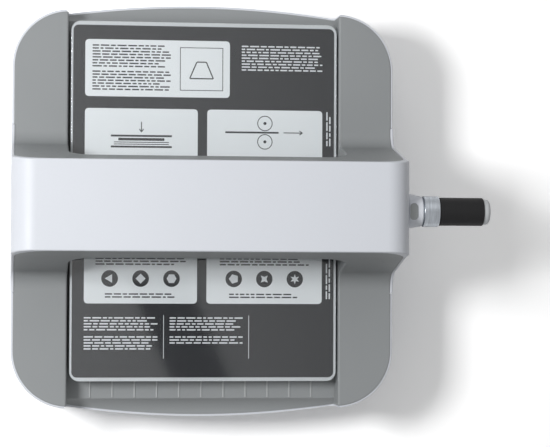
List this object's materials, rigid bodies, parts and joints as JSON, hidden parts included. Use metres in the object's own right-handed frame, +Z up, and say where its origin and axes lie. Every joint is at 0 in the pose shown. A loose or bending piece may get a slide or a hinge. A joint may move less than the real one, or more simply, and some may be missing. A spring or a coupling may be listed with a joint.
{
  "type": "die cutting machine",
  "caption": "Tabletop die cutting machine with a bridge over a ribbed tray, a sliding printed platform with a clear pad, geared steel rollers and a side crank with a turning grip.",
  "frame": {"origin": "on the table, under the middle of the roller gap and of the machine's base", "axes": "+X across the tray towards the crank, +Y towards the back of the tray, +Z up"},
  "size_m": [0.3928, 0.3512, 0.182],
  "materials": {
    "white_plastic": "moulded, satin white",
    "grey_plastic": "moulded, fine matt texture",
    "dark_grey_plastic": "moulded, matt",
    "rubber": "soft matt rubber",
    "plated_steel": "zinc plated sheet",
    "screw_steel": "zinc plated",
    "roller_steel": "ground",
    "spring_steel": "oiled",
    "gear_steel": "sintered, oiled",
    "bush_bronze": "sintered bronze",
    "brushed_aluminium": "brushed round the axis",
    "black_grip": "smooth matt",
    "pale_cap": "satin",
    "platform_plastic": "satin",
    "label_print": "printed dark grey with pale panels",
    "clear_pad": "clear, polished"
  },
  "bodies": {
    "frame": {"base_shell": "white_plastic", "bottom_plate": "dark_grey_plastic", "rubber_feet": "rubber", "front_deck": "grey_plastic", "rear_deck": "grey_plastic", "bridge_cover": "white_plastic", "left_side_plate": "plated_steel", "right_side_plate": "plated_steel", "tie_bars": "plated_steel", "tie_bar_screws": "screw_steel", "gear_plate": "plated_steel", "gear_plate_spacers": "plated_steel", "gear_plate_bolts": "screw_steel", "crank_bush": "bush_bronze", "housing_screws": "screw_steel", "frame_bolts": "screw_steel", "cover_screws": "screw_steel", "lower_roller_bushes": "bush_bronze", "upper_roller_bushes": "bush_bronze"},
    "lower_roller": {"lower_roller_tube": "roller_steel", "lower_roller_hubs": "roller_steel", "lower_roller_shaft": "roller_steel", "lower_circlips": "spring_steel", "lower_sync_gear": "gear_steel", "lower_drive_gear": "gear_steel"},
    "upper_roller": {"upper_roller_tube": "roller_steel", "upper_roller_hubs": "roller_steel", "upper_roller_shaft": "roller_steel", "upper_circlips": "spring_steel", "upper_sync_gear": "gear_steel"},
    "crank": {"crank_shaft": "roller_steel", "crank_pinion": "gear_steel", "crank_arm": "white_plastic", "arm_end_plug": "dark_grey_plastic", "hub_screw": "screw_steel", "handle_spindle": "roller_steel", "handle_collar": "brushed_aluminium", "grip_screw": "screw_steel"},
    "grip": {"grip_sleeve": "black_grip", "grip_end_cap": "pale_cap"},
    "platform": {"platform_board": "platform_plastic", "platform_label": "label_print", "cutting_pad": "clear_pad"}
  },
  "joints": [
    {"name": "crank_turn", "type": "hinge", "parent": "frame", "child": "crank", "pos_m": [0.155, 0, 0.094], "axis": [1, 0, 0], "range_deg": [-1200, 1090]},
    {"name": "lower_roller_turn", "type": "hinge", "parent": "frame", "child": "lower_roller", "pos_m": [0, 0, 0.046], "axis": [1, 0, 0], "range_deg": [-364, 401]},
    {"name": "upper_roller_turn", "type": "hinge", "parent": "frame", "child": "upper_roller", "pos_m": [0, 0, 0.114], "axis": [1, 0, 0], "range_deg": [-401, 364]},
    {"name": "platform_slide", "type": "slide", "parent": "frame", "child": "platform", "axis": [0, 1, 0], "range_m": [-0.1502, 0.1364]},
    {"name": "grip_spin", "type": "hinge", "parent": "crank", "child": "grip", "pos_m": [0.2, -0.00225, 0.14996], "axis": [1, 0, 0], "continuous": true}
  ],
  "couplings": [
    {"joint": "lower_roller_turn", "follows": "crank_turn", "ratio": -0.33333},
    {"joint": "upper_roller_turn", "follows": "crank_turn", "ratio": 0.33333},
    {"joint": "platform_slide", "follows": "crank_turn", "m_per_rad": 0.0071667}
  ]
}
